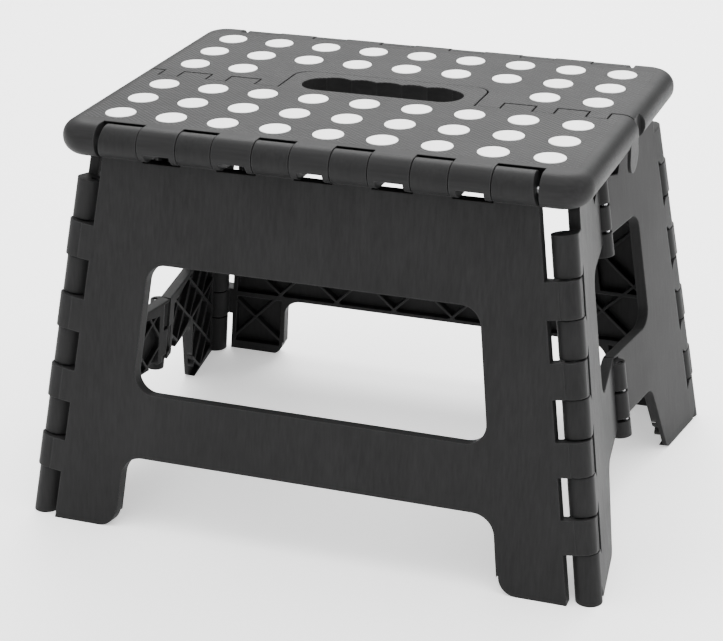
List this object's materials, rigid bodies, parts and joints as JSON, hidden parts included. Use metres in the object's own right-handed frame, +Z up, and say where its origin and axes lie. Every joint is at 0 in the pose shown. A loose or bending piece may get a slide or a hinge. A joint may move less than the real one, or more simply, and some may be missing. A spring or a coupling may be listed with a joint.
{
  "type": "folding step stool",
  "caption": "Low folding step stool: hinged two-part standing board with grip inlays and hand slot, two splayed leg panels, two inward-folding sides.",
  "frame": {"origin": "middle of the footprint on the floor", "axes": "+Z up, +X along the long side of the stool, -Y the front leg panel"},
  "size_m": [0.3232, 0.252, 0.2203],
  "materials": {
    "plastic": "moulded, fine grain",
    "dots": "matt off-white grip inlay",
    "steel": "plain steel pin"
  },
  "bodies": {
    "leg_front": {"leg_front": "plastic", "edge_pin_front": "steel", "corner_pin_front_left": "steel", "corner_pin_front_right": "steel"},
    "leg_rear": {"leg_rear": "plastic", "edge_pin_rear": "steel", "corner_pin_rear_left": "steel", "corner_pin_rear_right": "steel"},
    "top_front": {"top_front": "plastic", "front_grip_dots": "dots", "centre_pin_left": "steel", "centre_pin_right": "steel"},
    "top_rear": {"top_rear": "plastic", "rear_grip_dots": "dots"},
    "side_right_front": {"side_right_front": "plastic", "fold_pin_right_upper": "steel", "fold_pin_right_lower": "steel"},
    "side_right_rear": {"side_right_rear": "plastic"},
    "side_left_front": {"side_left_front": "plastic"},
    "side_left_rear": {"side_left_rear": "plastic", "fold_pin_left_upper": "steel", "fold_pin_left_lower": "steel"}
  },
  "joints": [
    {"name": "top_fold", "type": "hinge", "parent": "leg_front", "child": "top_front", "pos_m": [0, -0.095, 0.21], "axis": [1, 0, 0], "range_deg": [0, 68.29]},
    {"name": "right_front_corner", "type": "hinge", "parent": "leg_front", "child": "side_right_front", "pos_m": [0.13842, -0.10206, 0.1], "axis": [-0.1334, 0.1403, 0.9811], "range_deg": [0, 76.02]},
    {"name": "right_fold", "type": "hinge", "parent": "side_right_front", "child": "side_right_rear", "pos_m": [0.13674, 0, 0.1], "axis": [0.1325, 0, -0.9912], "range_deg": [0, 148.48]},
    {"name": "right_rear_corner", "type": "hinge", "parent": "side_right_rear", "child": "leg_rear", "pos_m": [0.13842, 0.10206, 0.1], "axis": [-0.1334, -0.1403, 0.9811], "range_deg": [0, 74.44]},
    {"name": "rear_top_fold", "type": "hinge", "parent": "leg_rear", "child": "top_rear", "pos_m": [0, 0.095, 0.21], "axis": [-1, 0, 0], "range_deg": [0, 69.72]},
    {"name": "left_front_corner", "type": "hinge", "parent": "leg_front", "child": "side_left_front", "pos_m": [-0.13842, -0.10206, 0.1], "axis": [-0.1334, -0.1403, -0.9811], "range_deg": [0, 74.65]},
    {"name": "left_rear_corner", "type": "hinge", "parent": "leg_rear", "child": "side_left_rear", "pos_m": [-0.13842, 0.10206, 0.1], "axis": [0.1334, -0.1403, 0.9811], "range_deg": [0, 74.65]}
  ],
  "couplings": [
    {"joint": "right_front_corner", "follows": "top_fold", "ratio": 1.1129},
    {"joint": "right_fold", "follows": "top_fold", "ratio": 2.1739},
    {"joint": "right_rear_corner", "follows": "top_fold", "ratio": 1.0898},
    {"joint": "rear_top_fold", "follows": "top_fold", "ratio": 1.0206},
    {"joint": "left_front_corner", "follows": "top_fold", "ratio": 1.0929},
    {"joint": "left_rear_corner", "follows": "top_fold", "ratio": 1.0929}
  ]
}
